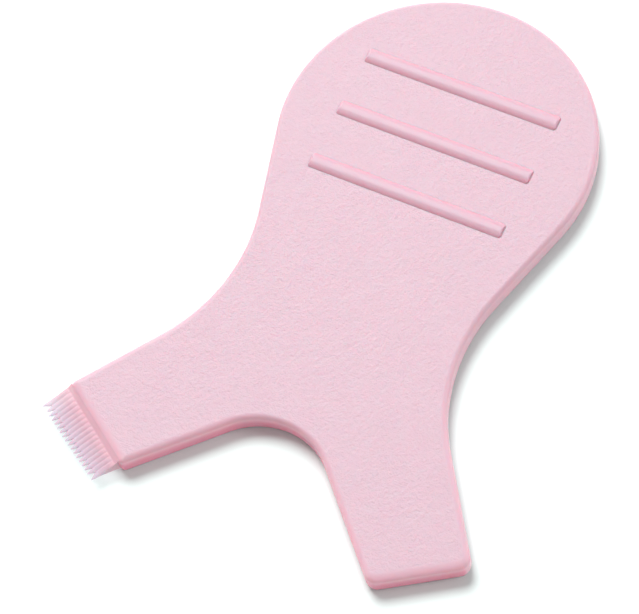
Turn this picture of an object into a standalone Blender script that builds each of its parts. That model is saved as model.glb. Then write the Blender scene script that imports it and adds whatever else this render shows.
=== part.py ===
"""Y-shaped lash and brow tint comb: two moulded half shells, a clear comb insert
in the left arm and three smooth grip ribs on the round paddle.

Frame: metres, +Z up. The origin is on the flat underside, below the centre of the
round paddle. +Y runs from the arms to the paddle, and the comb arm is on -X.
"""
import math

import bmesh
import bpy
import numpy as np
from mathutils import Matrix

MM = 0.001

# Plan outline, at the seam between the shells
PADDLE_RADIUS = 14.25 * MM
NECK_TAPER = math.radians(15.5)        # lean of the straight flank below the paddle
NECK_STRAIGHT = 8.85 * MM              # length of that flank
NECK_RADIUS = 16.7 * MM                # hollow curve from the flank to the arm
ARM_OUTER_SPLAY = math.radians(34.9)   # outer edge of an arm, from -Y
ARM_INNER_SPLAY = math.radians(44.3)   # inner edge of an arm, from -Y
ARM_OUTER_STRAIGHT = 10.8 * MM         # outer edge, from the neck curve to the end
ARM_END_WIDTH = 8.75 * MM
ARM_END_ANGLE = math.radians(33.4)     # the way an arm's end faces, from -Y
ARM_CORNER_RADIUS = 1.1 * MM           # plan corners of the plain arm
CROTCH_RADIUS = 6.3 * MM
COMB_ARM_SETBACK = 1.92 * MM           # the comb arm is this much shorter
COMB_CORNER_LAND = 0.12 * MM           # plan corner left on the comb arm's face

# Section of the body
THICKNESS = 2.1 * MM
EDGE_RADIUS = 0.30 * MM                # rounding between a wall and a face
DRAFT = math.radians(4.0)              # each wall leans in from the seam
SEAM_GAP = 0.06 * MM                   # parting between the two shells

# Grip ribs
RIB_COUNT = 3
RIB_PITCH = 5.75 * MM
RIB_FIRST_Y = 5.44 * MM
RIB_WIDTH = 1.5 * MM
RIB_TOP_WIDTH = 0.5 * MM               # flat crest between the rounded flanks
RIB_HEIGHT = 0.25 * MM                 # above the face
RIB_FOOT = 0.25 * MM                   # depth below the face
RIB_CORNER_RADIUS = 0.25 * MM          # plan corners of a rib's square ends
RIB_END_MARGIN = 3.6 * MM              # from a rib's end to the paddle's edge

# Comb insert
TOOTH_COUNT = 18
COMB_OUTER_STEP = 0.15 * MM            # arm's outer edge to the comb's side
COMB_INNER_STEP = 0.40 * MM            # arm's inner edge to the comb's other side
COMB_REACH_OUTER = 2.90 * MM           # arm end to tip, at the outer tooth
COMB_REACH_INNER = 2.65 * MM           # and at the inner tooth
TIP_ROW_INSET = 0.09 * MM              # comb's side to the last tip
WEB_LENGTH = 0.30 * MM
WEB_THICKNESS = 0.80 * MM
TOOTH_GAP = 0.09 * MM                  # slot between two teeth, at the web
TOOTH_THICKNESS = 1.00 * MM
TOOTH_CORNER_SHARE = 0.5               # of half its width, cut off each long edge
TOOTH_POINT_LENGTH = 0.75 * MM         # the pointed end of a tooth
SHOULDER_WIDTH_SHARE = 0.85            # of the root width, where the point starts
SHOULDER_THICKNESS = 0.62 * MM
TIP_WIDTH = 0.06 * MM
TIP_THICKNESS = 0.10 * MM
TANG_LENGTH = 5.0 * MM
TANG_THICKNESS = 0.70 * MM
TANG_SIDE_WALL = 1.0 * MM              # shell left on each side of the tang

# Locating pegs on the lower shell
PEG_RADIUS = 0.80 * MM
FACE_WALL = 0.40 * MM                  # shell left over a peg's socket
NECK_PEG_DISTANCE = 6.0 * MM           # from the crotch to the peg above it
ARM_PEG_DISTANCE = 6.0 * MM            # from the plain arm's end to its peg

FIT_CLEARANCE = 0.05 * MM              # around a tang, a peg or a rib's foot

# Fineness of curved surfaces
ARC_STEP = math.radians(5.0)
EDGE_STEPS = 4
PEG_SIDES = 24
RIB_CORNER_STEPS = 4
RIB_FLANK_STEPS = 5
SMOOTH_ANGLE = math.radians(30)

SHELL_COLOUR = (0.86, 0.60, 0.68)
RIB_COLOUR = (0.88, 0.62, 0.70)
COMB_COLOUR = (0.82, 0.58, 0.70)

SEAM_Z = THICKNESS / 2
PEG_TOP_Z = THICKNESS - FACE_WALL - FIT_CLEARANCE
EDGE_INSET = EDGE_RADIUS + (SEAM_Z - EDGE_RADIUS) * math.tan(DRAFT)
MIRROR_X = np.array([-1, 1])


def heading(angle_from_minus_y):
    """Unit direction in plan, turned from -Y towards +X."""
    return np.array([math.sin(angle_from_minus_y), -math.cos(angle_from_minus_y)])


def left_of(direction):
    return np.array([-direction[1], direction[0]])


def arc(centre, radius, start, end, hollow=False):
    """Points and outward normals along an arc; a hollow arc's normals face its centre."""
    steps = max(2, math.ceil(abs(end - start) / ARC_STEP))
    angles = np.linspace(start, end, steps + 1)
    rays = np.stack([np.cos(angles), np.sin(angles)], axis=1)
    return np.array(centre) + radius * rays, -rays if hollow else rays


def corner_arc(corner, arriving, leaving, radius):
    """Rounded corner of a clockwise outline that turns right at the corner."""
    turn = math.acos(float(np.clip(arriving @ leaving, -1, 1)))
    start = corner - arriving * radius * math.tan(turn / 2)
    ray = left_of(arriving)
    start_angle = math.atan2(ray[1], ray[0])
    return arc(start - ray * radius, radius, start_angle, start_angle - turn)


def neck_curve():
    """Centre of the hollow neck arc, and the point where the arm's outer edge leaves it."""
    flank_start = PADDLE_RADIUS * np.array([math.cos(NECK_TAPER), -math.sin(NECK_TAPER)])
    flank_end = flank_start + NECK_STRAIGHT * heading(-NECK_TAPER)
    centre = flank_end + NECK_RADIUS * left_of(heading(-NECK_TAPER))
    return centre, centre - NECK_RADIUS * left_of(heading(ARM_OUTER_SPLAY))


def arm_corners(setback):
    """Outer and inner sharp corners of the right arm, cut back along its end's normal."""
    outer = neck_curve()[1] + ARM_OUTER_STRAIGHT * heading(ARM_OUTER_SPLAY)
    inner = outer - ARM_END_WIDTH * np.array([math.cos(ARM_END_ANGLE), math.sin(ARM_END_ANGLE)])
    outer = outer - heading(ARM_OUTER_SPLAY) * setback / math.cos(ARM_OUTER_SPLAY - ARM_END_ANGLE)
    inner = inner - heading(ARM_INNER_SPLAY) * setback / math.cos(ARM_INNER_SPLAY - ARM_END_ANGLE)
    return outer, inner


def crotch_centre_y():
    """Height on the axis of the crotch arc that touches both inner arm edges."""
    inner = arm_corners(0)[1]
    touch_x = CROTCH_RADIUS * math.cos(ARM_INNER_SPLAY)
    rise = (inner[0] - touch_x) / math.tan(ARM_INNER_SPLAY)
    return inner[1] + rise - CROTCH_RADIUS * math.sin(ARM_INNER_SPLAY)


def half_outline(setback, corner_radius):
    """Right half of the outline, clockwise from the paddle's top to the crotch."""
    outer, inner = arm_corners(setback)
    across = (inner - outer) / np.linalg.norm(inner - outer)
    neck_angles = (math.pi - NECK_TAPER, math.pi + ARM_OUTER_SPLAY)
    runs = [
        arc((0, 0), PADDLE_RADIUS, math.pi / 2, -NECK_TAPER),
        arc(neck_curve()[0], NECK_RADIUS, *neck_angles, hollow=True),
        corner_arc(outer, heading(ARM_OUTER_SPLAY), across, corner_radius),
        corner_arc(inner, across, -heading(ARM_INNER_SPLAY), corner_radius),
        arc((0, crotch_centre_y()), CROTCH_RADIUS, ARM_INNER_SPLAY, math.pi / 2, hollow=True),
    ]
    return (np.concatenate([points for points, _ in runs]),
            np.concatenate([normals for _, normals in runs]))


def full_outline():
    """Closed outline, counter-clockwise, with the shorter comb arm on -X."""
    right, right_normals = half_outline(0, ARM_CORNER_RADIUS)
    left, left_normals = half_outline(COMB_ARM_SETBACK, EDGE_INSET + COMB_CORNER_LAND)
    points = np.concatenate([right[::-1], (left * MIRROR_X)[1:-1]])
    normals = np.concatenate([right_normals[::-1], (left_normals * MIRROR_X)[1:-1]])
    return points, normals


def loft(name, rings):
    """Closed solid through rings of equal point count, the lowest ring first."""
    mesh = bpy.data.meshes.new(name)
    bm = bmesh.new()
    loops = [[bm.verts.new(point) for point in ring] for ring in rings]
    for low, high in zip(loops, loops[1:]):
        for i in range(len(low)):
            j = (i + 1) % len(low)
            bm.faces.new((low[i], low[j], high[j], high[i]))
    bm.faces.new(loops[0][::-1])
    bm.faces.new(loops[-1])
    bmesh.ops.recalc_face_normals(bm, faces=bm.faces)
    bm.to_mesh(mesh)
    bm.free()
    piece = bpy.data.objects.new(name, mesh)
    bpy.context.scene.collection.objects.link(piece)
    return piece


def join(name, pieces):
    """One object from separate solids that don't touch."""
    mesh = bpy.data.meshes.new(name)
    bm = bmesh.new()
    for piece in pieces:
        first = len(bm.verts)
        bm.from_mesh(piece.data)
        bm.verts.ensure_lookup_table()
        bmesh.ops.transform(bm, matrix=piece.matrix_basis, verts=bm.verts[first:])
        bpy.data.objects.remove(piece)
    bm.to_mesh(mesh)
    bm.free()
    joined = bpy.data.objects.new(name, mesh)
    bpy.context.scene.collection.objects.link(joined)
    return joined


def add_boolean(target, tool, operation):
    """Live boolean; the tool is hidden from renders and drawn as wire."""
    modifier = target.modifiers.new(tool.name, 'BOOLEAN')
    modifier.operation = operation
    modifier.solver = 'EXACT'
    modifier.object = tool
    tool.hide_render = True
    tool.display_type = 'WIRE'


def finish(piece, colour, roughness, transmission=0.0):
    """Own material, and smooth shading up to the sharp edges."""
    material = bpy.data.materials.new(piece.name)
    material.use_nodes = True
    shader = material.node_tree.nodes["Principled BSDF"]
    shader.inputs["Base Color"].default_value = (*colour, 1)
    shader.inputs["Roughness"].default_value = roughness
    shader.inputs["Metallic"].default_value = 0.0
    shader.inputs["Transmission Weight"].default_value = transmission
    piece.data.materials.append(material)
    piece.data.shade_smooth()
    piece.data.set_sharp_from_angle(angle=SMOOTH_ANGLE)


def cylinder(name, centre, radius, bottom, top):
    x, y = centre
    angles = np.arange(PEG_SIDES) * 2 * math.pi / PEG_SIDES
    return loft(name, [[(x + radius * math.cos(a), y + radius * math.sin(a), z) for a in angles]
                       for z in (bottom, top)])


def box(name, low_x, high_x, low_y, high_y, half_height):
    """Box whose middle is at z = 0."""
    plan = [(low_x, low_y), (high_x, low_y), (high_x, high_y), (low_x, high_y)]
    return loft(name, [[(x, y, z) for x, y in plan] for z in (-half_height, half_height)])


def make_half_shell(name):
    """Half of the body: a drafted wall up from the seam, a rounded edge and a flat face."""
    outline, normals = full_outline()
    levels = [(0.0, SEAM_Z + SEAM_GAP / 2)]
    for k in range(EDGE_STEPS + 1):
        angle = math.pi / 2 * k / EDGE_STEPS
        inset = EDGE_INSET - EDGE_RADIUS * math.cos(angle)
        levels.append((inset, THICKNESS - EDGE_RADIUS + EDGE_RADIUS * math.sin(angle)))
    return loft(name, [[(x, y, z) for x, y in outline - normals * inset] for inset, z in levels])


def comb_arm_end():
    """Middle of the comb arm's end, and the end's width."""
    outer, inner = arm_corners(COMB_ARM_SETBACK)
    return (outer + inner) / 2 * MIRROR_X, float(np.linalg.norm(inner - outer))


def place_on_comb_arm(piece):
    """Moves a piece made with +Y out of the arm, +X to its outer edge and z = 0 at the seam."""
    middle, _ = comb_arm_end()
    piece.location = (middle[0], middle[1], SEAM_Z)
    piece.rotation_euler = (0, 0, math.pi - ARM_END_ANGLE)
    return piece


def tang_half_width():
    return comb_arm_end()[1] / 2 - TANG_SIDE_WALL


def tang_peg_places():
    """Pegs through the tang, in the comb's own plan coordinates."""
    x = tang_half_width() / 2
    return [(-x, -TANG_LENGTH / 2), (x, -TANG_LENGTH / 2)]


def body_peg_places():
    """Pegs in the paddle between two ribs, above the crotch and in the plain arm."""
    outer, inner = arm_corners(0)
    middle_splay = (ARM_OUTER_SPLAY + ARM_INNER_SPLAY) / 2
    arm_place = (outer + inner) / 2 - heading(middle_splay) * ARM_PEG_DISTANCE
    crotch_y = crotch_centre_y() + CROTCH_RADIUS
    return [(0.0, RIB_FIRST_Y - RIB_PITCH / 2), (0.0, crotch_y + NECK_PEG_DISTANCE), arm_place]


def peg_set(name, growth, bottom, top):
    """All pegs as one group of solids; growth turns them into the sockets' cutters."""
    radius = PEG_RADIUS + growth
    pegs = [cylinder("peg", place, radius, bottom, top) for place in body_peg_places()]
    for place in tang_peg_places():
        peg = cylinder("peg", place, radius, bottom - SEAM_Z, top - SEAM_Z)
        pegs.append(place_on_comb_arm(peg))
    return join(name, pegs)


def pocket_cutter(name):
    """Room for the tang, open at the arm's end."""
    half_width = tang_half_width() + FIT_CLEARANCE
    half_height = TANG_THICKNESS / 2 + FIT_CLEARANCE
    return place_on_comb_arm(box(name, -half_width, half_width, -TANG_LENGTH - FIT_CLEARANCE,
                                 WEB_LENGTH, half_height))


def rib_half_length():
    """All ribs are as long as the paddle allows at the outermost one."""
    last_y = RIB_FIRST_Y - RIB_PITCH * (RIB_COUNT - 1)
    furthest = max(abs(RIB_FIRST_Y), abs(last_y))
    return math.sqrt(PADDLE_RADIUS ** 2 - furthest ** 2) - RIB_END_MARGIN


def rib_ring(inset, z):
    """Rounded rectangle along X; a negative inset makes it larger."""
    radius = max(RIB_CORNER_RADIUS - inset, RIB_CORNER_RADIUS / 5)
    x = rib_half_length() - inset - radius
    y = RIB_WIDTH / 2 - inset - radius
    ring = []
    for quarter, (cx, cy) in enumerate(((x, y), (-x, y), (-x, -y), (x, -y))):
        for k in range(RIB_CORNER_STEPS + 1):
            angle = math.pi / 2 * (quarter + k / RIB_CORNER_STEPS)
            ring.append((cx + radius * math.cos(angle), cy + radius * math.sin(angle), z))
    return ring


def place_rib(piece, index):
    """Moves a piece made on the paddle's centre to the given rib's place."""
    piece.location = (0, RIB_FIRST_Y - index * RIB_PITCH, 0)
    return piece


def rib_groove_cutter():
    """Shallow grooves in the face for the ribs' feet."""
    levels = (THICKNESS - RIB_FOOT - FIT_CLEARANCE, THICKNESS + RIB_HEIGHT)
    grooves = [place_rib(loft("groove", [rib_ring(-FIT_CLEARANCE, z) for z in levels]), index)
               for index in range(RIB_COUNT)]
    return join("rib_groove_cutter", grooves)


def make_upper_shell():
    shell = make_half_shell("upper_shell")
    add_boolean(shell, pocket_cutter("upper_pocket_cutter"), 'DIFFERENCE')
    sockets = peg_set("socket_cutter", FIT_CLEARANCE, 0.0, PEG_TOP_Z + FIT_CLEARANCE)
    add_boolean(shell, sockets, 'DIFFERENCE')
    add_boolean(shell, rib_groove_cutter(), 'DIFFERENCE')
    finish(shell, SHELL_COLOUR, roughness=0.55)


def make_lower_shell():
    """The upper shell's shape turned over, with the pegs standing on it."""
    shell = make_half_shell("lower_shell")
    shell.data.transform(Matrix.Translation((0, 0, THICKNESS)) @ Matrix.Diagonal((1, 1, -1, 1)))
    shell.data.flip_normals()
    add_boolean(shell, pocket_cutter("lower_pocket_cutter"), 'DIFFERENCE')
    add_boolean(shell, peg_set("peg_group", 0.0, FACE_WALL, PEG_TOP_Z), 'UNION')
    finish(shell, SHELL_COLOUR, roughness=0.55)


def make_rib(index):
    """Smooth bar with rounded flanks, square ends and a foot below the face."""
    rings = [rib_ring(0, THICKNESS - RIB_FOOT)]
    flank = (RIB_WIDTH - RIB_TOP_WIDTH) / 2
    for k in range(RIB_FLANK_STEPS + 1):
        angle = math.pi / 2 * k / RIB_FLANK_STEPS
        rings.append(rib_ring(flank * (1 - math.cos(angle)), THICKNESS + RIB_HEIGHT * math.sin(angle)))
    rib = place_rib(loft(f"grip_rib_{index + 1}", rings), index)
    finish(rib, RIB_COLOUR, roughness=0.35)


def tooth_section(x, y, width, thickness):
    """Eight-sided section across a tooth, with its corners cut off."""
    w = width / 2
    h = thickness / 2
    cut = min(w, h) * TOOTH_CORNER_SHARE
    plan = [(-w, -h + cut), (-w + cut, -h), (w - cut, -h), (w, -h + cut),
            (w, h - cut), (w - cut, h), (-w + cut, h), (-w, h - cut)]
    return [(x + dx, y, dz) for dx, dz in plan]


def make_tooth(index, middle_x, root_row):
    """Tapered tooth; index 0 is the outermost."""
    share = index / (TOOTH_COUNT - 1)
    root_width = (root_row - TOOTH_GAP * (TOOTH_COUNT - 1)) / TOOTH_COUNT
    root_x = middle_x + (0.5 - share) * (root_row - root_width)
    tip_x = middle_x + (0.5 - share) * (root_row - 2 * TIP_ROW_INSET)
    start = WEB_LENGTH / 2
    tip = COMB_REACH_OUTER + (COMB_REACH_INNER - COMB_REACH_OUTER) * share
    shoulder = tip - TOOTH_POINT_LENGTH
    shoulder_x = root_x + (tip_x - root_x) * (shoulder - start) / (tip - start)
    return loft("tooth", [
        tooth_section(root_x, start, root_width, TOOTH_THICKNESS),
        tooth_section(shoulder_x, shoulder, root_width * SHOULDER_WIDTH_SHARE, SHOULDER_THICKNESS),
        tooth_section(tip_x, tip, TIP_WIDTH, TIP_THICKNESS),
    ])


def make_comb():
    """Tang held between the shells, a web against the arm's end, and the teeth."""
    arm_width = comb_arm_end()[1]
    web_high_x = arm_width / 2 - COMB_OUTER_STEP
    web_low_x = COMB_INNER_STEP - arm_width / 2
    half_tang = tang_half_width()
    comb = box("comb", -half_tang, half_tang, -TANG_LENGTH, WEB_LENGTH / 2, TANG_THICKNESS / 2)
    web = box("comb_web", web_low_x, web_high_x, FIT_CLEARANCE, WEB_LENGTH, WEB_THICKNESS / 2)
    middle_x = (web_low_x + web_high_x) / 2
    teeth = join("comb_teeth", [make_tooth(index, middle_x, web_high_x - web_low_x)
                                for index in range(TOOTH_COUNT)])
    holes = join("tang_hole_cutter", [
        cylinder("hole", place, PEG_RADIUS + FIT_CLEARANCE, -TANG_THICKNESS, TANG_THICKNESS)
        for place in tang_peg_places()])
    for piece in (comb, web, teeth, holes):
        place_on_comb_arm(piece)
    add_boolean(comb, web, 'UNION')
    add_boolean(comb, teeth, 'UNION')
    add_boolean(comb, holes, 'DIFFERENCE')
    finish(comb, COMB_COLOUR, roughness=0.30, transmission=0.4)


def main():
    for stale in list(bpy.data.objects):
        bpy.data.objects.remove(stale)
    make_upper_shell()
    make_lower_shell()
    make_comb()
    for index in range(RIB_COUNT):
        make_rib(index)


main()
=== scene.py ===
# Looks for a Y-shaped lash and brow tint comb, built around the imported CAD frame.
# Lengths in the dictionaries are millimetres and angles are degrees; meshes are in metres.
import math

import bmesh
import bpy
import numpy as np
from mathutils import Matrix, Vector


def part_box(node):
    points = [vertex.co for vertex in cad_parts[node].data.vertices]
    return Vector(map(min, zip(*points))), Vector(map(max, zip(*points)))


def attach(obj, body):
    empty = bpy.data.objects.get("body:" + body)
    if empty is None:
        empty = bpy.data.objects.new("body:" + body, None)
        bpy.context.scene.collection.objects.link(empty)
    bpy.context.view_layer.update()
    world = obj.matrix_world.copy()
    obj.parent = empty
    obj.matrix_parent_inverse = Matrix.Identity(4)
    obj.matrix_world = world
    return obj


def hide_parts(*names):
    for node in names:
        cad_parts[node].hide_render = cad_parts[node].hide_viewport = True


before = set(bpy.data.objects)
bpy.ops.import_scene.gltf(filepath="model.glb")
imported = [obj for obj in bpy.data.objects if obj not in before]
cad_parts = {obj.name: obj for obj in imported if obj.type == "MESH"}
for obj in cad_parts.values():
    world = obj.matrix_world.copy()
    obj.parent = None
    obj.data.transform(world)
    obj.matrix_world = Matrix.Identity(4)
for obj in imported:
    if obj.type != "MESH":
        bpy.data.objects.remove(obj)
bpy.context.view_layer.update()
mm = 0.001
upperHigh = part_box("upper_shell")[1]
bodyTop = upperHigh.z / mm        # height of the upper face
paddleRadius = upperHigh.y / mm   # the origin is below the paddle's centre
mirrorX = np.array([-1.0, 1.0])
print("stage: frame loaded,", len(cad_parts), "nodes")


bodyPlan = {
    "neckTaper": 15.5,       # lean of the flank below the paddle
    "neckStraight": 8.85,    # length of that flank
    "neckRadius": 16.7,      # hollow curve from the flank to the arm
    "outerSplay": 34.9,      # outer edge of an arm, turned from -Y
    "innerSplay": 44.3,      # inner edge of an arm, turned from -Y
    "outerStraight": 10.8,   # outer edge, from the neck curve to the end
    "endWidth": 8.75,
    "endAngle": 33.4,        # the way an arm's end faces, turned from -Y
    "crotchRadius": 6.3,
    "plainArm": {"setback": 0.0, "corner": 1.1},    # how much shorter the arm is, plan corner radius
    "combArm": {"setback": 1.92, "corner": 0.55},
    "sharpestCorner": 0.05,
}
# Points on each stretch of half the outline.
runSteps = {
    "paddle": 150, "flank": 48, "neck": 84, "outerEdge": 52, "corner": 16, "end": 44,
    "innerEdge": 60, "crotch": 36,
}


# Unit direction in plan: -Y turned by the angle towards +X.
def heading(degrees):
    return np.array([math.sin(math.radians(degrees)), -math.cos(math.radians(degrees))])


# The direction turned left by a right angle.
def leftOf(direction):
    return np.array([-direction[1], direction[0]])


# 3 t^2 - 2 t^3, level at both ends.
def smoothStep(t):
    return t * t * (3 - 2 * t)


# start + t (end - start) for t from 0 to just under 1.
def straightRun(start, end, steps):
    return start + np.linspace(0, 1, steps, endpoint=False)[:, None] * (end - start)


# centre + r (cos a, sin a), where the growth added to r goes smoothly from one value to the other.
def arcRun(centre, radius, startAngle, endAngle, steps, growth=(0.0, 0.0)):
    t = np.linspace(0, 1, steps, endpoint=False)
    a = startAngle + t * (endAngle - startAngle)
    r = radius + growth[0] + (growth[1] - growth[0]) * smoothStep(t)
    return np.array(centre) + r[:, None] * np.stack([np.cos(a), np.sin(a)], axis=1)


# Arc that rounds a right-hand turn, and where it starts and ends.
def cornerRun(corner, arriving, leaving, radius):
    turn = math.acos(float(arriving @ leaving))
    cut = radius * math.tan(turn / 2)
    start = corner - arriving * cut
    ray = leftOf(arriving)
    startAngle = math.atan2(ray[1], ray[0])
    arc = arcRun(start - ray * radius, radius, startAngle, startAngle - turn, runSteps["corner"])
    return arc, start, corner + leaving * cut


# Where two edges that met at the corner meet once each has moved in by its inset.
def meetingPoint(corner, firstNormal, firstInset, secondNormal, secondInset):
    normals = np.stack([firstNormal, secondNormal])
    return corner - np.linalg.solve(normals, [firstInset, secondInset])


# Start and end of the flank, the neck arc's centre and the start of the arm's outer edge.
def neckPoints():
    down = heading(-bodyPlan["neckTaper"])
    flankStart = paddleRadius * leftOf(down)
    flankEnd = flankStart + bodyPlan["neckStraight"] * down
    centre = flankEnd + bodyPlan["neckRadius"] * leftOf(down)
    edgeStart = centre - bodyPlan["neckRadius"] * leftOf(heading(bodyPlan["outerSplay"]))
    return flankStart, flankEnd, centre, edgeStart


# Sharp outer and inner corners of the right arm, cut back along its end's normal.
def armEnd(setback):
    outerWay, innerWay, endWay = (heading(bodyPlan[k]) for k in ("outerSplay", "innerSplay", "endAngle"))
    outer = neckPoints()[3] + bodyPlan["outerStraight"] * outerWay
    inner = outer - bodyPlan["endWidth"] * leftOf(endWay)
    outer = outer - outerWay * setback / (outerWay @ endWay)
    inner = inner - innerWay * setback / (innerWay @ endWay)
    return outer, inner


# The crotch arc's centre lies on the axis, one radius from both inner edges.
def crotchCentre():
    inner = armEnd(0)[1]
    splay = math.radians(bodyPlan["innerSplay"])
    touchX = bodyPlan["crotchRadius"] * math.cos(splay)
    touchY = inner[1] + (inner[0] - touchX) / math.tan(splay)
    return np.array([0.0, touchY - bodyPlan["crotchRadius"] * math.sin(splay)])


# Right half, clockwise from the paddle's top; each stretch moves in by its own inset.
def halfOutline(arm, paddleInset, sideInset, endInset, crotchInset):
    plan = bodyPlan
    taper, splay, inwards = (math.radians(plan[k]) for k in ("neckTaper", "outerSplay", "innerSplay"))
    outerWay, innerWay, endWay = (heading(plan[k]) for k in ("outerSplay", "innerSplay", "endAngle"))
    across = -leftOf(endWay)
    flankNormal = leftOf(heading(-plan["neckTaper"]))
    outerNormal = leftOf(outerWay)
    flankStart, flankEnd, neckCentre, edgeStart = neckPoints()
    outer, inner = armEnd(arm["setback"])
    outer = meetingPoint(outer, outerNormal, sideInset, endWay, endInset)
    inner = meetingPoint(inner, -leftOf(innerWay), sideInset, endWay, endInset)
    radius = max(arm["corner"] - (sideInset + endInset) / 2, plan["sharpestCorner"])
    outerArc, outerStart, outerStop = cornerRun(outer, outerWay, across, radius)
    innerArc, innerStart, innerStop = cornerRun(inner, across, -innerWay, radius)
    crotch = crotchCentre()
    spoke = np.array([math.cos(inwards), math.sin(inwards)])
    touch = crotch + (plan["crotchRadius"] + sideInset) * spoke
    flankShift = flankNormal * paddleInset
    return np.concatenate([
        arcRun((0, 0), paddleRadius - paddleInset, math.pi / 2, -taper, runSteps["paddle"]),
        straightRun(flankStart - flankShift, flankEnd - flankShift, runSteps["flank"]),
        arcRun(neckCentre, plan["neckRadius"], math.pi - taper, math.pi + splay, runSteps["neck"],
               (paddleInset, sideInset)),
        straightRun(edgeStart - outerNormal * sideInset, outerStart, runSteps["outerEdge"]),
        outerArc,
        straightRun(outerStop, innerStart, runSteps["end"]),
        innerArc,
        straightRun(innerStop, touch, runSteps["innerEdge"]),
        arcRun(crotch, plan["crotchRadius"], inwards, math.pi / 2, runSteps["crotch"],
               (sideInset, crotchInset)),
        [crotch + [0, plan["crotchRadius"] + crotchInset]],
    ])


# Both halves as one counter-clockwise loop; the shorter comb arm is on -X.
def bodyOutline(insets):
    right = halfOutline(bodyPlan["plainArm"], *insets)
    left = halfOutline(bodyPlan["combArm"], *insets)
    return np.concatenate([right[::-1], (left * mirrorX)[1:-1]])


creaseAngle = 40   # edges that turn more than this stay crisp


# Mesh object at the origin, in metres, with named values kept on its vertices.
def newPiece(name, vertices, faces, attributes, crease=creaseAngle):
    mesh = bpy.data.meshes.new(name)
    mesh.from_pydata((vertices * mm).tolist(), [], faces)
    for label, values in attributes.items():
        layer = mesh.attributes.new(label, "FLOAT", "POINT")
        layer.data.foreach_set("value", values.astype(np.float32))
    mesh.shade_smooth()
    mesh.set_sharp_from_angle(angle=math.radians(crease))
    piece = bpy.data.objects.new(name, mesh)
    bpy.context.scene.collection.objects.link(piece)
    return piece


# Corner indices of the quads between neighbouring closed rings of equal count.
def ringQuads(levels, count):
    level, column = np.meshgrid(np.arange(levels - 1), np.arange(count), indexing="ij")
    following = (column + 1) % count
    low = level * count
    high = low + count
    return np.stack([low + column, low + following, high + following, high + column], axis=-1).reshape(-1, 4)


# The plan of each ring with its height as the third coordinate.
def raised(plan, z):
    return np.concatenate([plan, np.broadcast_to(z[:, None, None], plan.shape[:2] + (1,))], axis=2)


# Closed solid through rings of equal count, with a flat cap at each end. The first ring is the
# lowest, or with flip the highest.
def ringSolid(name, rings, attributes, flip=False):
    levels, count = rings.shape[:2]
    faces = ringQuads(levels, count).tolist()
    faces.append(list(range(count))[::-1])
    faces.append(list(range((levels - 1) * count, levels * count)))
    if flip:
        faces = [face[::-1] for face in faces]
    return newPiece(name, rings.reshape(-1, 3), faces, attributes)


def finishPiece(piece, node, material):
    piece.data.materials.append(material)
    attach(piece, "root")
    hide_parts(node)


shellSection = {
    "draft": 4.0,            # each wall leans in from the seam
    # plan width of the rounded edge on the paddle, the arms' sides, their ends and the crotch
    "edgeWidths": (0.42, 0.58, 0.88, 0.40),
    "edgeHeight": 0.45,
    # The wall colour set below is painted shade: it deepens on walls that face -Y, away from the key light,
    # and further down the wall, so the lower shell is deepest.
    "shadeDeepening": 0.50,       # the wall's colour is at its deepest this far below the rounded edge
    "litWallShade": 0.30,        # share of the deep colour on a wall that faces the light
    "edgeWallShade": 0.50,       # and where the shaded wall meets its rounded edge
    "shadeFrom": 0.25,       # -Y share of a wall's normal where the colour starts to deepen
    "shadeTo": 0.65,         # and from where it is as deep as it gets
    "grainFade": 4,          # power of the edge's share by which the face's grain fades out
    "lipRadius": 0.02,       # rounding at the seam
    "lowerStep": 0.01,       # the lower shell stands back this much
    "seamGap": 0.01,
    "seamInset": 0.30,       # inner ring of the seam's face
    "faceRing": 0.03,        # flat ring inside the rounded edge
    "lipSteps": 4,
    "wallSteps": 5,
    "edgeSteps": 14,
}


# Section from the seam up: seam face, quarter-round lip, drafted wall, elliptic edge, flat face.
# Gives the wall's inset, the share of the edge's own width to add to it, and the height.
def shellProfile():
    cut = shellSection
    foot = bodyTop / 2 + cut["seamGap"] / 2 + cut["lipRadius"]
    wallTop = bodyTop - cut["edgeHeight"]
    lip = np.radians(np.linspace(-90, 0, cut["lipSteps"] + 1))
    edge = np.radians(np.linspace(0, 90, cut["edgeSteps"] + 1))[1:]
    wallZ = np.linspace(foot, wallTop, cut["wallSteps"] + 1)[1:]
    wallInset = (wallZ - foot) * math.tan(math.radians(cut["draft"]))
    inset = np.concatenate([[cut["seamInset"]], cut["lipRadius"] * (1 - np.cos(lip)), wallInset,
                            np.full(len(edge), wallInset[-1]), [wallInset[-1] + cut["faceRing"]]])
    share = np.concatenate([np.zeros(1 + len(lip) + len(wallZ)), 1 - np.cos(edge), [1.0]])
    z = np.concatenate([[foot - cut["lipRadius"]], foot + cut["lipRadius"] * np.sin(lip), wallZ,
                        wallTop + cut["edgeHeight"] * np.sin(edge), [bodyTop]])
    return inset, share, z
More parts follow.
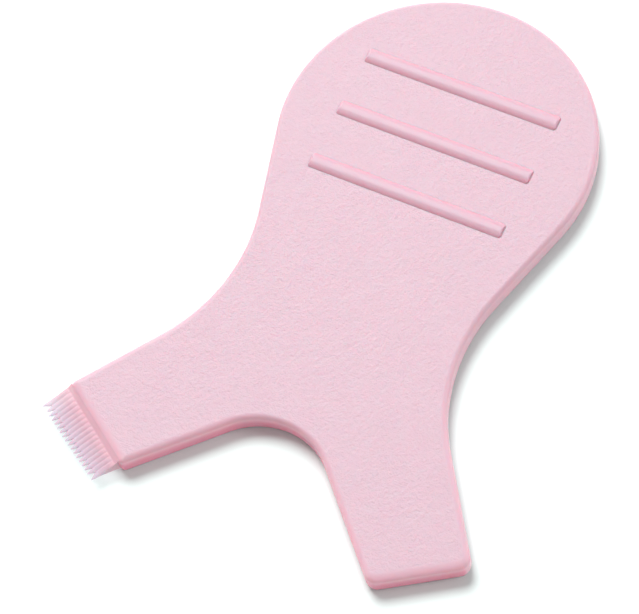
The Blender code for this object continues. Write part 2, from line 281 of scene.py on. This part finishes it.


# Stack of outlines, each moved in by its level's inset plus its share of the edge's width; the
# lower shell is the upper one upside down. Two values stay on the vertices: faceShare is the edge's
# share to the power grainFade, and the wall's share of painted shade is (1 - sqrt(share)) times a
# shade that grows with how far the wall faces -Y, away from the key light, and, on such a wall, downwards
# from the upper edge.
def makeShell(name, upper):
    cut = shellSection
    inset, share, z = shellProfile()
    if not upper:
        inset = inset + cut["lowerStep"]
        z = bodyTop - z
    widths = np.array(cut["edgeWidths"])
    plan = np.stack([bodyOutline(level + part * widths) for level, part in zip(inset, share)])
    faceShare = np.repeat(share ** cut["grainFade"], plan.shape[1])
    along = np.roll(plan[0], -1, axis=0) - np.roll(plan[0], 1, axis=0)
    # Painted shade: how far each wall faces -Y, away from the key light, and how far down it lies deepen its
    # colour.
    facing = along[:, 0] / np.hypot(along[:, 0], along[:, 1])
    facing = smoothStep(np.clip((facing - cut["shadeFrom"]) / (cut["shadeTo"] - cut["shadeFrom"]), 0, 1))
    down = np.clip((bodyTop - cut["edgeHeight"] - z) / cut["shadeDeepening"], 0, 1)
    edgeWallShade = cut["litWallShade"] + (cut["edgeWallShade"] - cut["litWallShade"]) * facing
    wallShade = edgeWallShade + np.outer(down, (1 - cut["edgeWallShade"]) * facing)
    wallPaintedShade = ((1 - np.sqrt(share))[:, None] * wallShade).ravel()
    return ringSolid(name, raised(plan, z), {"faceShare": faceShare, "wallPaintedShade": wallPaintedShade}, flip=not upper)


ribShape = {
    "cornerRadius": 0.28,   # plan corners of the square ends
    "crestWidth": 0.10,
    "footSlope": 50.0,      # slope of a flank where it meets the face
    "endSlope": 0.35,       # an end leans in this share of what a side does
    "sink": 0.50,           # the rib's underside lies this far below the face
    "cornerSteps": 6,
    "sideSteps": 120,
    "flankSteps": 14,
}


# Counter-clockwise rectangle with round corners and the same point count at any size.
def roundedBar(halfLength, halfWidth, radius):
    turn = np.radians(np.linspace(0, 90, ribShape["cornerSteps"] + 1))
    quarter = np.stack([np.cos(turn), np.sin(turn)], axis=1) * radius
    along = np.linspace(0, 1, ribShape["sideSteps"] + 2)[1:-1, None]
    x = halfLength - radius
    y = halfWidth - radius
    right = quarter + [x, y]
    left = (quarter * mirrorX)[::-1] + [-x, y]
    top = right[-1] + along * (left[0] - right[-1])
    upperHalf = np.concatenate([right, top, left])
    return np.concatenate([upperHalf, -upperHalf])


# Circular arc across the bar: the slope a falls from the foot's to 0, the distance from the middle
# goes with sin a and the height with cos a. The share of painted shade on the flanks is 1 at the foot and 0
# on the crest.
def makeRib(name, node):
    low, high = (np.array(corner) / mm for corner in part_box(node))
    halfLength, halfWidth = (high - low)[:2] / 2
    centre = ((high + low) / 2)[:2]
    climb = high[2] - bodyTop
    crestHalf = ribShape["crestWidth"] / 2
    foot = math.radians(ribShape["footSlope"])
    a = np.linspace(foot, 0, ribShape["flankSteps"] + 1)
    flankInset = (halfWidth - crestHalf) * (1 - np.sin(a) / math.sin(foot))
    inset = np.concatenate([[0], flankInset, [halfWidth - crestHalf / 2]])
    rise = (np.cos(a) - math.cos(foot)) / (1 - math.cos(foot))
    z = np.concatenate([[bodyTop - ribShape["sink"]], bodyTop + climb * rise, [high[2]]])
    radius = np.maximum(ribShape["cornerRadius"] - inset, crestHalf / 4)
    plan = np.stack([roundedBar(halfLength - d * ribShape["endSlope"], halfWidth - d, r)
                     for d, r in zip(inset, radius)])
    footPaintedShade = np.repeat(1 - np.clip((z - bodyTop) / climb, 0, 1), plan.shape[1])
    return ringSolid(name, raised(plan + centre, z), {"footPaintedShade": footPaintedShade})


combShape = {
    "teeth": 18,
    "outerStep": 0.15,       # arm's outer edge to the comb's side
    "innerStep": 0.40,       # arm's inner edge to the comb's other side
    "reachOuter": 2.90,      # arm end to tip, at the outer tooth
    "reachInner": 2.65,      # and at the inner tooth
    "reachBow": 0.03,        # the row of tips bows out this much in the middle
    "tangLength": 5.0,
    "tangThickness": 0.70,
    "tangSideWall": 1.0,     # shell left on each side of the tang
    "webStart": -0.20,       # the web reaches into the arm's end
    "webThickness": 1.04,
    "webFlare": 0.70,        # the web is this much thicker inside the arm
    "flareFade": 1.2,        # power by which that fades out before the ridges
    "ridgeStart": 0.30,      # where the teeth rise out of the web
    "ridgeRound": 0.22,      # length of a tooth's rounded start
    "rootThickness": 1.08,
    "gapLength": 0.74,       # free length of a tooth's point
    "gapThickness": 0.32,    # crest thickness where the points part
    "tipThickness": 0.06,
    "tipWidth": 0.16,        # share of the pitch that a tip keeps
    "thinFade": 1.2,         # power by which a point thins towards its tip
    "rootValley": 1.02,      # valley thickness at the root
    "gapValley": 0.24,       # and where the points part
    "sideInset": 0.06,       # each side of the comb leans in this much
    "creaseAngle": 60,
    "weldDistance": 0.0001,
    "columns": 10,           # across one tooth
    "rows": 26,
    "firstRows": 0.45,       # length of the first row, as a share of an even one
    "pointRows": 12,
}


# Tip distance over the comb's width, across going 0 to 1 from the outer side: a line plus a bow.
def combReach(across):
    line = combShape["reachOuter"] + (combShape["reachInner"] - combShape["reachOuter"]) * across
    return line + combShape["reachBow"] * 4 * across * (1 - across)


# Middle of the comb arm's end, the way to its outer edge, the way out of it, and its width.
def combFrame():
    outer, inner = (corner * mirrorX for corner in armEnd(bodyPlan["combArm"]["setback"]))
    width = np.linalg.norm(outer - inner)
    return (outer + inner) / 2, (outer - inner) / width, heading(-bodyPlan["endAngle"]), width


# Half of: valley + flare + (crest - valley) 4 s (1 - s), s going 0 to 1 across a tooth. Crest and
# valley thin evenly towards the gap; near the ridge's start they ease in from the web's thickness,
# the crest along a quarter circle.
def toothHeight(s, distance, gapAt):
    c = combShape
    along = np.clip((distance - c["ridgeStart"]) / (gapAt - c["ridgeStart"]), 0, 1)
    crest = c["rootThickness"] + (c["gapThickness"] - c["rootThickness"]) * along
    valley = c["rootValley"] + (c["gapValley"] - c["rootValley"]) * along
    rise = np.clip((distance - c["ridgeStart"]) / c["ridgeRound"], 0, 1)
    crest = c["webThickness"] + (crest - c["webThickness"]) * np.sqrt(rise * (2 - rise))
    valley = c["webThickness"] + (valley - c["webThickness"]) * np.clip(2 * rise, 0, 1)
    flareShare = np.clip((distance - c["webStart"]) / (c["ridgeStart"] - c["webStart"]), 0, 1)
    flare = c["webFlare"] * (1 - flareShare) ** c["flareFade"]
    return (valley + flare + (crest - valley) * (4 * s * (1 - s))) / 2


# Upper half surface from tang to gaps: x across the teeth, y out of the arm, z half thickness, and
# the share of the reach. The rows between web and gap get longer outwards.
def combBody():
    c = combShape
    width = combFrame()[3]
    a = np.arange(c["teeth"] * c["columns"] + 1) / c["columns"]
    across = a / c["teeth"]
    reach = combReach(across)
    gapAt = reach - c["gapLength"]
    outerX = width / 2 - c["outerStep"]
    innerX = c["innerStep"] - width / 2
    tangHalf = width / 2 - c["tangSideWall"]
    t = np.linspace(0, 1, c["rows"])[:, None]
    y = c["webStart"] + t * (c["firstRows"] + (1 - c["firstRows"]) * t) * (gapAt - c["webStart"])
    lean = c["sideInset"] * y / reach
    x = (outerX - lean) - across * (outerX - innerX - 2 * lean)
    z = toothHeight(a % 1.0, y, gapAt)
    tangX = np.broadcast_to(tangHalf - across * 2 * tangHalf, (2, len(a)))
    tangY = np.array([[-c["tangLength"]], [c["webStart"]]]) + np.zeros((1, len(a)))
    tangZ = np.full((2, len(a)), c["tangThickness"] / 2)
    tangShare = np.zeros((2, len(a)))
    return (np.concatenate([tangX, x]), np.concatenate([tangY, y]), np.concatenate([tangZ, z]),
            np.concatenate([tangShare, y / reach]))


# Pointed ends of the teeth, t going 0 to 1 from gap to tip: the width falls evenly with t to the
# tip's and the thickness with t to the power thinFade. The comb's outermost sides stay straight.
def combPoints():
    c = combShape
    bodyX, bodyY, bodyZ, _ = (grid[-1] for grid in combBody())
    tooth = np.arange(c["teeth"])[:, None]
    pick = tooth * c["columns"] + np.arange(c["columns"] + 1)
    rootX = bodyX[pick]
    middle = (rootX[:, :1] + rootX[:, -1:]) / 2
    middle[0] = rootX[0, 0]
    middle[-1] = rootX[-1, -1]
    reach = combReach((tooth + 0.5) / c["teeth"])
    t = np.linspace(0, 1, c["pointRows"])[:, None, None]
    narrow = c["tipWidth"] + (1 - c["tipWidth"]) * (1 - t)
    thin = 1 - (1 - c["tipThickness"] / c["gapThickness"]) * t ** c["thinFade"]
    y = bodyY[pick] + t * (reach - bodyY[pick])
    return middle + (rootX - middle) * narrow, y, bodyZ[pick] * thin, y / reach


# Each row's upper points there and its lower points back, as closed loops of (x, y, z, share).
def closedLoops(surface):
    return np.stack([np.concatenate([grid, sign * grid[..., ::-1]], axis=-1)
                     for grid, sign in zip(surface, (1, 1, -1, 1))], axis=-1)


# Tang, web and ridged body as one tube, then a pointed tube for each tooth, welded together.
def makeComb(name):
    body = closedLoops(combBody())
    levels, count = body.shape[:2]
    column = np.arange(count // 2 - 1)
    tangCap = np.stack([column, count - 1 - column, count - 2 - column, column + 1], axis=-1)
    vertices = [body.reshape(-1, 4)]
    quads = [ringQuads(levels, count)[:, ::-1], tangCap[:, ::-1]]
    tips = []
    offset = levels * count
    points = closedLoops(combPoints())
    rows, teeth, loop = points.shape[:3]
    for tooth in range(teeth):
        vertices.append(points[:, tooth].reshape(-1, 4))
        quads.append(ringQuads(rows, loop)[:, ::-1] + offset)
        tips.append((np.arange(loop) + offset + (rows - 1) * loop)[::-1].tolist())
        offset += rows * loop
    local = np.concatenate(vertices)
    middle, side, out, _ = combFrame()
    plan = middle + local[:, :1] * side + local[:, 1:2] * out
    place = np.concatenate([plan, local[:, 2:3] + bodyTop / 2], axis=1)
    faces = np.concatenate(quads).tolist() + tips
    piece = newPiece(name, place, faces, {"reachShare": local[:, 3]}, combShape["creaseAngle"])
    welded = bmesh.new()
    welded.from_mesh(piece.data)
    bmesh.ops.remove_doubles(welded, verts=welded.verts, dist=combShape["weldDistance"] * mm)
    bmesh.ops.recalc_face_normals(welded, faces=welded.faces)
    welded.to_mesh(piece.data)
    welded.free()
    return piece


grain = {
    "patches": 2.6,         # size of the faint cloudy patches
    "pebbles": 0.32,        # size of the moulded grain
    "dust": 0.14,           # size of the finest grain
    "dustShare": 0.35,      # of the grain's height
    "patchShare": 0.2,      # swing of the patches beside the grain's in the colour
    "roughSwing": 0.25,     # how far the grain changes the roughness
}


def nodeOf(tree, kind, **values):
    node = tree.nodes.new(kind)
    for label, value in values.items():
        setattr(node, label, value)
    return node


# Group: object-space noise of three sizes gives a mottled colour, a roughness and a grain height.
def mouldedGrain():
    group = bpy.data.node_groups.new("mouldedGrain", "ShaderNodeTree")
    for label in ("Mottle", "Roughness", "Mask"):
        group.interface.new_socket(label, in_out="INPUT", socket_type="NodeSocketFloat")
    for label in ("Roughness", "Height"):
        group.interface.new_socket(label, in_out="OUTPUT", socket_type="NodeSocketFloat")
    for way in ("INPUT", "OUTPUT"):
        group.interface.new_socket("Color", in_out=way, socket_type="NodeSocketColor")
    links = group.links
    given = nodeOf(group, "NodeGroupInput")
    result = nodeOf(group, "NodeGroupOutput")
    place = nodeOf(group, "ShaderNodeTexCoord")

    def noise(size, detail):
        texture = nodeOf(group, "ShaderNodeTexNoise")
        texture.inputs["Scale"].default_value = 1 / (size * mm)
        texture.inputs["Detail"].default_value = detail
        links.new(place.outputs["Object"], texture.inputs["Vector"])
        return texture.outputs["Fac"]

    def maths(operation, first, second, third=None):
        node = nodeOf(group, "ShaderNodeMath", operation=operation)
        for socket, value in zip(node.inputs, (first, second, third)):
            if isinstance(value, bpy.types.NodeSocket):
                links.new(value, socket)
            elif value is not None:
                socket.default_value = value
        return node.outputs[0]

    pebbles = maths("SUBTRACT", noise(grain["pebbles"], 2.0), 0.5)
    dust = maths("SUBTRACT", noise(grain["dust"], 1.0), 0.5)
    patches = maths("SUBTRACT", noise(grain["patches"], 2.0), 0.5)
    coarse = maths("MULTIPLY", pebbles, 1 - grain["dustShare"])
    height = maths("MULTIPLY_ADD", dust, grain["dustShare"], coarse)
    swing = maths("MULTIPLY_ADD", patches, grain["patchShare"], height)
    shown = maths("MULTIPLY", swing, given.outputs["Mask"])
    gain = maths("MULTIPLY_ADD", shown, given.outputs["Mottle"], 1.0)
    tint = nodeOf(group, "ShaderNodeVectorMath", operation="SCALE")
    links.new(given.outputs["Color"], tint.inputs[0])
    links.new(gain, tint.inputs["Scale"])
    links.new(tint.outputs[0], result.inputs["Color"])
    links.new(maths("MULTIPLY", height, given.outputs["Mask"]), result.inputs["Height"])
    links.new(maths("MULTIPLY_ADD", pebbles, grain["roughSwing"], given.outputs["Roughness"]),
              result.inputs["Roughness"])
    return group


grainGroup = mouldedGrain()

# Colours run evenly along the piece's share; bump and scatter are the grain's height and the
# scattering length.
finishes = {
    "shellPlastic": {
        # Face colour, then the mid and deep pinks of the painted shade on the walls, deepest low on walls
        # that face away from the key light.
        "share": "wallPaintedShade",   # 0 on the faces, 1 on the lower wall in the shade
        "grainMask": "faceShare",
        "colors": ((0.622, 0.441, 0.509), (0.94, 0.51, 0.59), (0.97, 0.32, 0.43)),
        "mottle": 0.16, "bump": 0.09, "roughness": 0.50, "scatter": 0.30, "specular": 0.40,
    },
    "ribPlastic": {
        # The deeper pink towards the rib's foot is painted shade on its flanks.
        "share": "footPaintedShade",   # 0 on the crest, 1 where the rib meets the face
        "colors": ((0.58, 0.405, 0.475), (0.80, 0.38, 0.46)),
        "mottle": 0.05, "bump": 0.012, "roughness": 0.42, "scatter": 0.45, "specular": 0.35,
    },
    "combPlastic": {
        "share": "reachShare",   # 0 in the arm, 1 at the tips
        # The first, lighter pink is painted light on the web's flare at the arm's end, which the lights
        # barely reach; then the comb's pink, turning lilac-grey towards the tips.
        "colors": ((0.83, 0.49, 0.565), (0.64, 0.39, 0.47), (0.62, 0.43, 0.54), (0.61, 0.47, 0.61)),
        "mottle": 0.04, "bump": 0.006, "roughness": 0.35, "scatter": 0.20, "specular": 0.35,
        "alpha": (0.92, 0.66), "shadowAlpha": 0.45,   # in the arm and at the tips; for shadow rays
    },
}
scatterColors = (1.0, 0.35, 0.45)   # share of the scattering length; red travels furthest


def attributeOf(tree, label):
    return nodeOf(tree, "ShaderNodeAttribute", attribute_name=label).outputs["Fac"]


# Alpha of a clear plastic: it runs along the share, is thinner for shadow rays and 0 on the inside.
def clearness(tree, share, look):
    clear = nodeOf(tree, "ShaderNodeMapRange")
    clear.inputs["To Min"].default_value, clear.inputs["To Max"].default_value = look["alpha"]
    tree.links.new(share, clear.inputs["Value"])
    ray = nodeOf(tree, "ShaderNodeLightPath")
    thin = nodeOf(tree, "ShaderNodeMix", data_type="FLOAT")
    factor, first, second = (socket for socket in thin.inputs if socket.enabled)
    second.default_value = look["shadowAlpha"]
    tree.links.new(ray.outputs["Is Shadow Ray"], factor)
    tree.links.new(clear.outputs["Result"], first)
    side = nodeOf(tree, "ShaderNodeNewGeometry")
    fronts = nodeOf(tree, "ShaderNodeMath", operation="SUBTRACT")
    fronts.inputs[0].default_value = 1.0
    tree.links.new(side.outputs["Backfacing"], fronts.inputs[1])
    alpha = nodeOf(tree, "ShaderNodeMath", operation="MULTIPLY")
    tree.links.new(next(socket for socket in thin.outputs if socket.enabled), alpha.inputs[0])
    tree.links.new(fronts.outputs[0], alpha.inputs[1])
    return alpha.outputs[0]


# Principled plastic with the shared grain, and with part of the light let through if it is clear.
def plastic(name):
    look = finishes[name]
    material = bpy.data.materials.new(name)
    material.use_nodes = True
    tree = material.node_tree
    shader = tree.nodes["Principled BSDF"]
    share = attributeOf(tree, look["share"])
    ramp = nodeOf(tree, "ShaderNodeValToRGB")
    stops = ramp.color_ramp.elements
    for place in np.linspace(0, 1, len(look["colors"]))[1:-1]:
        stops.new(place)
    for stop, color in zip(stops, look["colors"]):
        stop.color = (*color, 1)
    tree.links.new(share, ramp.inputs["Fac"])
    grained = nodeOf(tree, "ShaderNodeGroup", node_tree=grainGroup)
    grained.inputs["Mottle"].default_value = look["mottle"]
    grained.inputs["Roughness"].default_value = look["roughness"]
    grained.inputs["Mask"].default_value = 1.0
    tree.links.new(ramp.outputs["Color"], grained.inputs["Color"])
    if "grainMask" in look:
        tree.links.new(attributeOf(tree, look["grainMask"]), grained.inputs["Mask"])
    if "alpha" in look:
        tree.links.new(clearness(tree, share, look), shader.inputs["Alpha"])
    bump = nodeOf(tree, "ShaderNodeBump")
    bump.inputs["Distance"].default_value = look["bump"] * mm
    tree.links.new(grained.outputs["Height"], bump.inputs["Height"])
    tree.links.new(grained.outputs["Color"], shader.inputs["Base Color"])
    tree.links.new(grained.outputs["Roughness"], shader.inputs["Roughness"])
    tree.links.new(bump.outputs["Normal"], shader.inputs["Normal"])
    shader.inputs["Specular IOR Level"].default_value = look["specular"]
    shader.inputs["Subsurface Weight"].default_value = 1.0
    shader.inputs["Subsurface Radius"].default_value = scatterColors
    shader.inputs["Subsurface Scale"].default_value = look["scatter"] * mm
    return material


shellPlastic = plastic("shellPlastic")
ribPlastic = plastic("ribPlastic")
combPlastic = plastic("combPlastic")
print("stage: materials made")


finishPiece(makeShell("upperShellSurface", upper=True), "upper_shell", shellPlastic)
finishPiece(makeShell("lowerShellSurface", upper=False), "lower_shell", shellPlastic)
for ribNode in sorted(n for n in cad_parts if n.startswith("grip_rib")):
    finishPiece(makeRib("gripRib" + ribNode[-1], ribNode), ribNode, ribPlastic)
finishPiece(makeComb("combSurface"), "comb", combPlastic)
print("stage: pieces made")


studio = {
    "floorSize": 3000.0,
    "floorDrop": 0.01,                   # just below the part, so the two don't coincide
    "floorColor": (0.84, 0.93, 0.91),    # evens out the pink that the walls throw on it
    "floorRoughness": 0.9,
    "floorSpecular": 0.1,
    "keyDirection": (-0.43, 0.41, 0.80),   # towards the light
    "keyDistance": 1500.0,
    "keyDiameter": 980.0,
    "keyPower": 27.9,
    "fillDirection": (0.78, 0.38, 0.50),
    "fillDistance": 1200.0,
    "fillDiameter": 500.0,
    "fillPower": 4.1,
    "worldStrength": 0.32,
}
viewpoint = {
    "aim": (-2.841, -17.912, 0.0),   # point of the floor in the middle of the view
    "turn": 38.31,
    "tilt": 27.512,
    "roll": -13.659,
    "distance": 279.32,
    "lens": 182.59,
    "clipStart": 10.0,
    "clipEnd": 10000.0,
}


# Flat pale square under the part.
def makeFloor():
    half = studio["floorSize"] / 2
    corners = np.array([(-half, -half, 0), (half, -half, 0), (half, half, 0), (-half, half, 0)])
    plane = newPiece("floor", corners - [0, 0, studio["floorDrop"]], [[0, 1, 2, 3]], {})
    paint = bpy.data.materials.new("floorPaint")
    paint.use_nodes = True
    shader = paint.node_tree.nodes["Principled BSDF"]
    shader.inputs["Base Color"].default_value = (*studio["floorColor"], 1)
    shader.inputs["Roughness"].default_value = studio["floorRoughness"]
    shader.inputs["Specular IOR Level"].default_value = studio["floorSpecular"]
    plane.data.materials.append(paint)
    return plane


# Round area light that faces the aim point from a direction.
def diskLight(name, aim):
    lamp = bpy.data.lights.new(name + "Light", "AREA")
    lamp.shape = "DISK"
    lamp.size = studio[name + "Diameter"] * mm
    lamp.energy = studio[name + "Power"]
    light = bpy.data.objects.new(name + "Light", lamp)
    towards = Vector(studio[name + "Direction"]).normalized()
    light.location = aim + towards * studio[name + "Distance"] * mm
    light.rotation_euler = towards.to_track_quat("Z", "Y").to_euler()
    bpy.context.scene.collection.objects.link(light)


# White light of equal strength from all round.
def makeWorld():
    world = bpy.data.worlds.new("studioWorld")
    world.use_nodes = True
    background = world.node_tree.nodes["Background"]
    background.inputs["Color"].default_value = (1, 1, 1, 1)
    background.inputs["Strength"].default_value = studio["worldStrength"]
    return world


# Camera turned about Z, then tilted, then rolled, at its distance from the aim point.
def makeCamera(aim):
    data = bpy.data.cameras.new("camera")
    data.lens = viewpoint["lens"]
    data.clip_start = viewpoint["clipStart"] * mm
    data.clip_end = viewpoint["clipEnd"] * mm
    stance = (Matrix.Rotation(math.radians(viewpoint["turn"]), 4, "Z")
              @ Matrix.Rotation(math.radians(viewpoint["tilt"]), 4, "X")
              @ Matrix.Rotation(math.radians(viewpoint["roll"]), 4, "Z"))
    lookout = bpy.data.objects.new("camera", data)
    bpy.context.scene.collection.objects.link(lookout)
    lookout.matrix_world = Matrix.Translation(aim + stance.col[2].xyz * viewpoint["distance"] * mm) @ stance
    return lookout


floor = makeFloor()
aimPoint = Vector(viewpoint["aim"]) * mm
diskLight("key", aimPoint)
diskLight("fill", aimPoint)
bpy.context.scene.world = makeWorld()
bpy.context.scene.view_settings.view_transform = "Standard"
bpy.context.scene.camera = makeCamera(aimPoint)
print("stage: floor, light and camera made")
